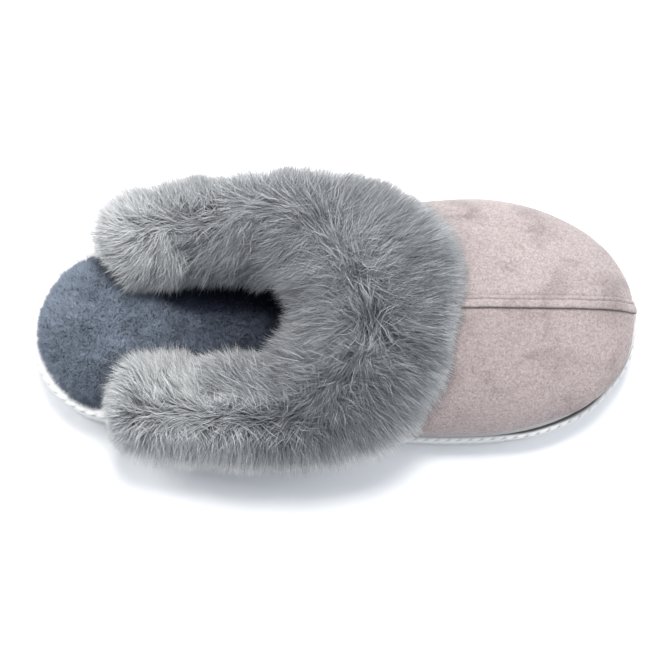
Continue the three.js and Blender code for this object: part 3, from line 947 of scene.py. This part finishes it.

# %% [markdown]
# ## Pile: fur made of real strands
#
# Long pile is thousands of fine fibres that stick together in locks. Each strand here is a closed,
# pointed, three-sided blade with a bend in it. Blades that share a lock lean to the same tip, and a
# few stray ones stand free. Tens of thousands of blades are planted and combed by formula, so the
# mesh is written straight from arrays. A fur blade has sixteen triangles and a plush blade four.
#
# The blade's map runs from root to tip in one direction and holds its shade in the other. The
# finish reads only that map: roots painted dark as shade deep in the pile, near-white tips that are
# partly painted light through the thin ends, and a slightly different grey per lock, onto which
# painted light and shade are laid by place round the collar.


# %% Blades from arrays
def blades(name, rings, radii, shades):
    """One mesh of pointed blades. rings[n, k] are points from root to tip in mm, radii[n, k] widths."""
    count, levels = rings.shape[:2]
    way = unit(rings[:, 1] - rings[:, 0])
    guide = np.where(np.abs(way[:, 2:3]) < 0.9, [[0.0, 0.0, 1.0]], [[1.0, 0.0, 0.0]])
    side = unit(np.cross(way, guide))
    up = np.cross(way, side)
    corners = []
    for k in range(levels - 1):
        for turn in (0.0, 2 * np.pi / 3, 4 * np.pi / 3):
            arm = side * np.cos(turn) + up * np.sin(turn)
            corners.append(rings[:, k] + arm * radii[:, k:k + 1])
    corners.append(rings[:, -1])
    each = len(corners)
    points = np.stack(corners, 1)
    faces, spots = [(0, 2, 1)], [((0, 0), (0, 1), (0, 0.5))]
    for k in range(levels - 1):
        for j in range(3):
            a, b = 3 * k + j, 3 * k + (j + 1) % 3
            if k == levels - 2:
                faces.append((a, b, each - 1))
                spots.append(((k, 0), (k, 1), (k + 1, 0.5)))
            else:
                faces += [(a, b, b + 3), (a, b + 3, a + 3)]
                spots += [((k, 0), (k, 1), (k + 1, 1)), ((k, 0), (k + 1, 1), (k + 1, 0))]
    faces, spots = np.array(faces), np.array(spots, float)
    p = points[0][faces[1:]]
    one, two = p[:, 1] - p[:, 0], p[:, 2] - p[:, 0]
    volume = np.einsum("ij,ij->i", p[:, 0] - points[0, 0], np.cross(one, two)).sum()
    if volume < 0:
        faces, spots = faces[:, ::-1], spots[:, ::-1]
    corner_ids = (np.arange(count)[:, None, None] * each + faces[None]).ravel()
    length_share = np.linspace(0.02, 0.98, levels)
    u = length_share[spots[..., 0].astype(int)]
    u[0] = 0.02 + 0.008 * np.array([0, 1, 2])
    map_u = np.broadcast_to(u, (count, *u.shape))
    map_v = 0.01 + 0.97 * shades[:, None, None] + 0.008 * (spots[None, ..., 1] - 0.5)
    mesh = bpy.data.meshes.new(name)
    mesh.vertices.add(count * each)
    mesh.vertices.foreach_set("co", (points * MM).ravel())
    mesh.loops.add(len(corner_ids))
    mesh.loops.foreach_set("vertex_index", corner_ids.astype(np.int32))
    mesh.polygons.add(len(corner_ids) // 3)
    mesh.polygons.foreach_set("loop_start", np.arange(0, len(corner_ids), 3, dtype=np.int32))
    mesh.update(calc_edges=True)
    layer = mesh.uv_layers.new(name="OFBake")
    layer.data.foreach_set("uv", np.stack([map_u.ravel(), map_v.ravel()], 1).ravel())
    piece = bpy.data.objects.new(name, mesh)
    bpy.context.scene.collection.objects.link(piece)
    return piece


def pile_finish(name, stops, dark, light, **constants):
    """Colour along the blade (stops, painted dark at the roots as shade) times the blade's own shade."""
    pile = Finish(name, **constants)
    spot = node(pile.tree, "ShaderNodeUVMap", {"uv_map": "OFBake"}, {})[0]
    along = node(pile.tree, "ShaderNodeValToRGB", {"stops": stops}, {"Fac": spot["X"]})[0]
    pile.drive("Base Color", multiplied(along, mixed(spot["Y"], dark, light)))
    return pile


print("blade maker ready")

# %% [markdown]
# ## Combing the fur
#
# The pile parts along the crest of the collar. Outside the crest it falls outwards over the vamp and
# the sole. Inside it falls towards the opening and is swept back to the heel. On the parting the
# blades stand up, so you look down at their roots, which the finish paints dark as painted shade. The
# roll's rows become a table of places and directions, blades are sprinkled over it by area, and every
# blade bends from its root direction to a flatter tip direction.

# %% Table of the roll
table = roll_rows[:, :len(TURNS)]
d_place = np.gradient(table, axis=0)
d_turn = np.gradient(table, axis=1)
facing = unit(np.cross(d_place, d_turn))
facing *= np.sign((facing[70, 24] * [0, 0, 1]).sum())
outwards = unit(d_turn)
heelwards = np.cross(facing, outwards)
heelwards *= np.where(heelwards[..., :1] > 0, -1.0, 1.0)
cell = np.linalg.norm(np.cross(d_place, d_turn), axis=2)
cell[:, TURNS < np.radians(-5)] *= 0.35
front_share = 1 - ease(np.abs(places) / 0.45)[:, None]
from_crest = np.degrees(TURNS)[None] - lerp(104, 72, front_share)
cell *= 1 + lerp(0.6, 0.9, front_share) * np.exp(-(from_crest / 26) ** 2)
print("fur ground in cm2:", round(cell.sum() / 100, 1))


def read(grid, row, column):
    """Values between the table's points."""
    row = np.clip(row, 0, grid.shape[0] - 1.001)
    column = np.clip(column, 0, grid.shape[1] - 1.001)
    i, j = row.astype(int), column.astype(int)
    a, b = (row - i)[:, None], (column - j)[:, None]
    flat = grid.reshape(*grid.shape[:2], -1)
    return ((flat[i, j] * (1 - a) + flat[i + 1, j] * a) * (1 - b)
            + (flat[i, j + 1] * (1 - a) + flat[i + 1, j + 1] * a) * b)


# %% Planting
FUR_COUNT = 75000
chance = np.random.default_rng(7)
share = (cell / cell.sum()).ravel()
picked = chance.choice(len(share), size=FUR_COUNT, p=share)
row = picked // len(TURNS) + chance.uniform(-0.5, 0.5, FUR_COUNT)
column = picked % len(TURNS) + chance.uniform(-0.5, 0.5, FUR_COUNT)
order = np.argsort(row)
row, column = row[order], column[order]
roots = read(table, row, column)
place = np.interp(row, np.arange(len(places)), places)
turn = np.interp(column, np.arange(len(TURNS)), TURNS)


def nearest_lock(points, spacing, seed):
    """Number and root of the lock that each point belongs to: locks sit in a loose 3-D lattice."""
    home = np.floor(points / spacing).astype(int)
    best = np.full(len(points), np.inf)
    number = np.zeros(len(points), int)
    centre = np.zeros_like(points)
    for step in np.ndindex(3, 3, 3):
        lattice = home + np.array(step) - 1
        code = (lattice @ np.array([73856093, 19349663, 83492791])) ^ seed
        jitter = np.stack([np.abs(np.sin(code * k) * 43758.5453) % 1 for k in (0.013, 0.029, 0.047)], 1)
        spot = (lattice + jitter) * spacing
        distance = np.linalg.norm(points - spot, axis=1)
        closer = distance < best
        best[closer], number[closer], centre[closer] = distance[closer], code[closer], spot[closer]
    return number, centre


def random_of(number, k):
    """A fixed random number from -1 to 1 for each lock."""
    return 2 * (np.abs(np.sin(number * 0.0173 + k * 12.9898) * 43758.5453) % 1) - 1


LOCK_SPACING, TUFT_SPACING = 2.3, 7.5
lock, lock_root = nearest_lock(roots, LOCK_SPACING, 17)
tuft, tuft_root = nearest_lock(roots, TUFT_SPACING, 91)
print("blades:", FUR_COUNT, "locks:", len(np.unique(lock)))

# %% Uneven trim of the pile
OUTER_TRIM = [(-0.5, 0.0), (-0.4, 1.0), (-0.3, 1.8), (-0.22, 3.7), (-0.17, 5.9), (-0.14, 3.8),
              (-0.105, 1.5), (-0.07, -2.6), (-0.02, -5.6), (0.03, 0.6), (0.08, 6.2), (0.14, 7.2),
              (0.2, 5.7), (0.28, 3.4), (0.38, 2.1), (0.45, 2.2), (0.55, 3.5), (0.65, 4.4),
              (0.75, 4.8), (0.84, 5.4), (0.92, 2.5), (1.0, -1.5), (1.1, -3.5)]
INNER_TRIM = [(-0.8, 0.0), (-0.6, -2.2), (-0.3, -2.6), (-0.15, -1.0), (0.0, 0.0), (0.12, 2.5), (0.2, 4.2),
              (0.28, 5.0), (0.38, 3.2), (0.46, 0.5), (0.6, 0.0), (0.75, -1.5), (0.9, 0.0)]

# %% Combing
up_dir, out_dir, heel_dir = (unit(read(ways, row, column)) for ways in (facing, outwards, heelwards))

from_front = np.abs(place)
quarter = MOUTH_RADIUS * np.pi / 2
sideways = np.clip(from_front * (quarter + MOUTH_BACK_RUN) / quarter, 0, 1)
sideways = np.sin(sideways * np.pi / 2) ** 2
side_crest = np.where(place > 0, 99, 109)
crest = np.radians(lerp(69, side_crest, sideways)) + 0.16 * ripple(roots[:, 0], roots[:, 1], 40, 31)
spread = np.where(turn > crest, lerp(1.0, 0.33, sideways), lerp(0.42, 0.3, sideways))
comb = np.tanh((turn - crest) / spread * 1.3)
inside = comb < 0
sweep_in, sweep_out = lerp(0.1, 1.05, ease(from_front / 0.45)), lerp(0.0, 0.35, ease(from_front / 0.6))
sweep = np.where(inside, sweep_in, sweep_out) + 1.6 * ease((from_front - 0.82) / 0.2)
outer = np.clip(comb, 0, 1)
sway = lerp(0.5, 0.16, outer) * ripple(roots[:, 0], roots[:, 1], 24, 32)
sway = sway + lerp(0.28, 0.05, outer) * ripple(roots[:, 0], roots[:, 1], 9, 34)
sway = sway + lerp(0.2, 0.06, outer) * random_of(tuft, 1) + lerp(0.16, 0.06, outer) * random_of(lock, 2)
sway = sway + chance.normal(0, 1, FUR_COUNT) * lerp(0.18, 0.08, outer)
loose = (1 - np.abs(comb)) ** 1.5
by_lock = chance.random(FUR_COUNT) < 0.5
any_way = np.pi * np.where(by_lock, random_of(lock, 3), chance.uniform(-1, 1, FUR_COUNT))
lay = (comb + 0.8 * loose * np.cos(any_way))[:, None] * out_dir
lay = lay + (sweep * np.abs(comb) ** 0.5 + 0.8 * loose * np.sin(any_way))[:, None] * heel_dir
lay = unit(lay, least=0.2)
across = np.cross(up_dir, lay)
lay = lay * np.cos(sway)[:, None] + across * np.sin(sway)[:, None]

strength = np.abs(comb)
hanging = ease((turn - np.radians(-15)) / np.radians(75))
lean = np.radians(lerp(28, 56, strength) * lerp(0.15, 1.0, hanging))
tip_lean = np.radians(lerp(64, 86, strength) * lerp(0.4, 1.0, hanging))
lean = lean + 0.10 * random_of(lock, 4) + chance.normal(0, 0.09, FUR_COUNT)
tip_lean = tip_lean + 0.14 * random_of(lock, 5) + chance.normal(0, 0.12, FUR_COUNT)
length = lerp(18.5, 20.0, 1 - sideways) * (1 - 0.3 * ease((from_front - 0.88) / 0.15))
length = length * lerp(0.62, 1.0, hanging) + 3.5 * inside * (1 - sideways)
near_end = ease((from_front - 0.86) / 0.14)
length = length * (1 - 0.5 * near_end * (1 - ease((turn - np.radians(10)) / np.radians(70))))
length = length * np.where(place < 0, 1 - 0.25 * near_end, 1.0)
uneven = 0.06 * random_of(lock, 6) + 0.05 * random_of(tuft, 7) + chance.normal(0, 0.07, FUR_COUNT)
length = length * (1 + lerp(1.0, 0.5, outer) * uneven)
length = length + outer * np.interp(place, *zip(*OUTER_TRIM)) + inside * np.interp(place, *zip(*INNER_TRIM))
stray = chance.random(FUR_COUNT) < 0.012
length[stray] *= 1.12
length = np.clip(length, 8, 30)

# %% Bending and gathering into locks
STEPS = 3
rings = [roots - 0.6 * up_dir]
for k in range(STEPS):
    angle = lerp(lean, tip_lean, k / (STEPS - 1))
    way = up_dir * np.cos(angle)[:, None] + lay * np.sin(angle)[:, None]
    rings.append(rings[-1] + way * (length / STEPS)[:, None])
rings = np.stack(rings, 1)
pull = lerp(0.45, 0.26, outer) * (1 - 0.6 * loose) + 0.15 * chance.standard_normal(FUR_COUNT)
pull = np.where(stray, 0.0, pull).clip(0, 0.9)
wide_pull = np.where(stray, 0.0, lerp(0.1, 0.04, outer))
for k in range(1, STEPS + 1):
    share = (k / STEPS) ** 1.3
    to_lock = (lock_root - roots) * (pull * share)[:, None]
    to_tuft = (tuft_root - roots) * (wide_pull * share)[:, None]
    rings[:, k] += to_lock + to_tuft
    rings[:, k] += chance.normal(0, 0.34 * share + 0.05, (FUR_COUNT, 3))
    curl = lerp(1.0, 0.6, outer) * (random_of(lock, 11) + 0.4 * chance.standard_normal(FUR_COUNT))
    rings[:, k] += across * (curl * (0.0, 0.9, -0.9, 0.4)[k])[:, None]
    rings[:, k, 2] -= np.where(place < 0, 11, 4) * (k / STEPS) ** 2 * ease((comb - 0.3) / 0.6) * sideways

# %% Keeping clear of the vamp, the floor and the footbed
for k in range(1, STEPS + 1):
    x, y, z = rings[:, k].T
    over_vamp = (np.abs(y - centre_y(x)) < half_width(x, 2.0)) & (turn > crest) & (x > -90)
    floor = np.where(over_vamp, dome_z(x, y, 0.0) + 2.2 + 0.5 * (STEPS - k), 3.0)
    floor = np.where(turn < np.radians(60), np.maximum(floor, 29.0), floor)
    rings[:, k, 2] = np.maximum(z, floor)
print("fur outline in mm:", rings.min((0, 1)).round(1), rings.max((0, 1)).round(1))

# %% Shade of each blade: tone per lock, with painted light and shade by place
shade = 0.20 + 0.19 * random_of(lock, 8) + 0.09 * random_of(tuft, 9)
shade = shade + 0.1 * ripple(roots[:, 0], roots[:, 1], 45, 33)
# Painted light: the blades of both side lobes are made lighter towards the heel.
shade = shade + 0.44 * ease((place - 0.48) / 0.4) + 0.46 * ease((-place - 0.25) / 0.4)
# Painted shade: the front is darkened, and its parting darker still. The parting on the sides is made a
# little lighter, as painted light.
front_painted_shade = np.exp(-((place + 0.1) / 0.28) ** 2)
shade = shade + 0.1 * front_painted_shade * (random_of(lock, 10) - 1) + chance.normal(0, 0.3, FUR_COUNT)
shade = shade + (1 - strength) * lerp(0.08, -0.2, front_painted_shade)
# Painted light: past the crest the outer blades are made much lighter towards the rim, most at the front.
# Painted shade: the blades that hang low into the mouth are darkened.
painted_rim_light = ease((turn - np.radians(110)) / np.radians(60))
shade = shade + lerp(0.85, 0.38, sideways) * painted_rim_light - 0.12 * (1 - hanging)
shade = shade + 0.4 * (chance.random(FUR_COUNT) < 0.08)
shade = np.clip(shade, 0.0, 1.0)
radii = np.tile([0.13, 0.15, 0.10, 0.0], (FUR_COUNT, 1))
radii = radii * (1 + 0.2 * chance.standard_normal(FUR_COUNT).clip(-1.5, 2))[:, None]

# %% Fur finish and pieces
# Painted shade: the roots are dark, as shade deep in the pile. Painted light: the near-white tips, as light
# through the thin ends, over their own silvery tone.
fur = pile_finish("silver_grey_fur", [(0.0, (0.12, 0.125, 0.14)), (0.35, (0.36, 0.37, 0.39)),
                                      (0.75, (0.78, 0.79, 0.80)), (1.0, (1.0, 1.0, 0.98))],
                  (0.20, 0.213, 0.235), (1.0, 1.0, 0.99), Roughness=0.38, Specular_IOR_Level=0.5,
                  Sheen_Weight=0.2, Sheen_Roughness=0.35)
FUR_PARTS = ["heel_right", "side_right", "bend_right", "front_right", "front_left", "bend_left",
             "side_left", "heel_left"]
for part, chosen in zip(FUR_PARTS, np.array_split(np.arange(FUR_COUNT), len(FUR_PARTS))):
    tress = blades("fur_" + part, rings[chosen], radii[chosen], shade[chosen])
    finished(tress, fur)
    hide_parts("collar_fur")

# %% [markdown]
# ## Plush: short pile on the footbed
#
# The same blades, much shorter, make the plush. They lean a little in soft whorls, so the footbed
# shows the mottled light and dark of brushed fleece, and they bristle over the edge of the cup at
# the heel. Roots are sprinkled over the faces of the swollen pad, by area. Their shade is painted
# darker further into the shoe, under the collar's edge and in the deep front of the opening: painted shade.

# %% Planting the plush
PLUSH_COUNT = 96000
PLUSH_HEIGHT = 3.0
chance = np.random.default_rng(13)
insole_pad.data.calc_loop_triangles()
faces = np.array([face.vertices for face in insole_pad.data.loop_triangles])
corners = corner_places(insole_pad) / MM
a, b, c = (corners[faces[:, k]] for k in range(3))
normals = np.cross(b - a, c - a)
area = np.linalg.norm(normals, axis=1) / 2
normals *= np.sign((a * np.cross(b, c)).sum()) / np.maximum(2 * area, 1e-9)[:, None]
middle = (a + b + c) / 3
seen = (normals[:, 2] > -0.2) & (middle[:, 0] < 12) & ((middle[:, 0] < -75) | (np.abs(middle[:, 1]) < 27))
thin = np.where(middle[:, 0] > -60, np.where(middle[:, 0] > -15, 0.2, 0.75), 1.0)
chances = area * seen * thin
face = chance.choice(len(faces), size=PLUSH_COUNT, p=chances / chances.sum())
u, v = chance.random((2, PLUSH_COUNT, 1))
u, v = np.where(u + v > 1, 1 - u, u), np.where(u + v > 1, 1 - v, v)
plush_roots = a[face] + u * (b - a)[face] + v * (c - a)[face]
plush_up = normals[face]
print("plush roots:", PLUSH_COUNT, "on cm2:", round(float((area * seen).sum()) / 100, 1))

# %% Brushing the plush
px, py = plush_roots[:, 0], plush_roots[:, 1]
bunch, bunch_root = nearest_lock(plush_roots * [1, 1, 0.01], 1.8, 5)
angle = 2.2 * ripple(px, py, 22, 41) + 1.0 * ripple(px, py, 6, 42) + 0.8 * random_of(bunch, 1)
brushed = np.stack([np.cos(angle), np.sin(angle), 0 * angle], 1)
tilt = 0.3 + 0.15 * ripple(px, py, 12, 43) + chance.normal(0, 0.25, PLUSH_COUNT)
way = unit(plush_up + brushed * tilt[:, None] + chance.normal(0, 0.28, (PLUSH_COUNT, 3)))
tall = PLUSH_HEIGHT * (1 + 0.14 * random_of(bunch, 2) + chance.normal(0, 0.14, PLUSH_COUNT))
tips = plush_roots + way * tall[:, None] + 0.25 * (bunch_root - plush_roots) * [1, 1, 0]
plush_rings = np.stack([plush_roots - 0.4 * plush_up, tips], 1)
plush_shade = 0.49 + 0.04 * random_of(bunch, 3) + 0.03 * ripple(px, py, 14, 44)
plush_shade = plush_shade + 0.05 * ripple(px, py, 3.5, 45)
plush_shade = plush_shade + chance.normal(0, 0.10, PLUSH_COUNT)
# Painted shade: the plush is darkened further into the shoe, in a band under the collar's edge on the left
# side, and most in the deep front of the opening.
into_shoe = ease((px + 98) / 55)
cloth_fold_and_collar_shadow = ease((py - lerp(14.0, 1.5, ease((px + 90) / 30))) / 6) * ease((px + 88) / 14)
deep = ease((px + 44) / 24)
plush_shade = plush_shade * (1 - 0.66 * into_shoe) * (1 - 0.9 * cloth_fold_and_collar_shadow) * (1 - 0.9 * deep)
plush_shade = np.clip(plush_shade, 0, 1)
plush_radii = np.tile([0.2, 0.0], (PLUSH_COUNT, 1)) * 1.0

# %% Plush finish and pieces
# Painted shade: the plush roots are darker, as shade deep in the nap, and the dark end of the shade is blue,
# as a painted sky-lit shadow.
PLUSH_STOPS = [(0.0, (0.35, 0.35, 0.38)), (0.5, (0.7, 0.71, 0.73)), (1.0, (1.0, 1.0, 1.0))]
plush = pile_finish("blue_grey_plush", PLUSH_STOPS,
                    (0.010, 0.013, 0.035), (0.52, 0.61, 0.72), Roughness=0.8, Specular_IOR_Level=0.2)
order = np.argsort(px)
for part, chosen in zip(("heel", "waist", "arch"), np.array_split(order, 3)):
    nap = blades("plush_" + part, plush_rings[chosen], plush_radii[chosen], plush_shade[chosen])
    finished(nap, plush)
    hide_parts("insole_cover")

# %% [markdown]
# ## Floor
#
# The slipper stands on a large white sheet. It is part of the stage and not of the slipper.

# %% White sheet
bpy.ops.mesh.primitive_grid_add(x_subdivisions=8, y_subdivisions=8, size=6)
floor_sheet = bpy.context.active_object
floor_sheet.name = floor_sheet.data.name = "floor_sheet"
white = Finish("white_floor", Roughness=0.9, Specular_IOR_Level=0.1)
white.drive("Base Color", mixed(white.noise(900, detail=1), (0.93, 0.93, 0.93), (0.91, 0.91, 0.91)))
floor_sheet.data.materials.append(white.material)
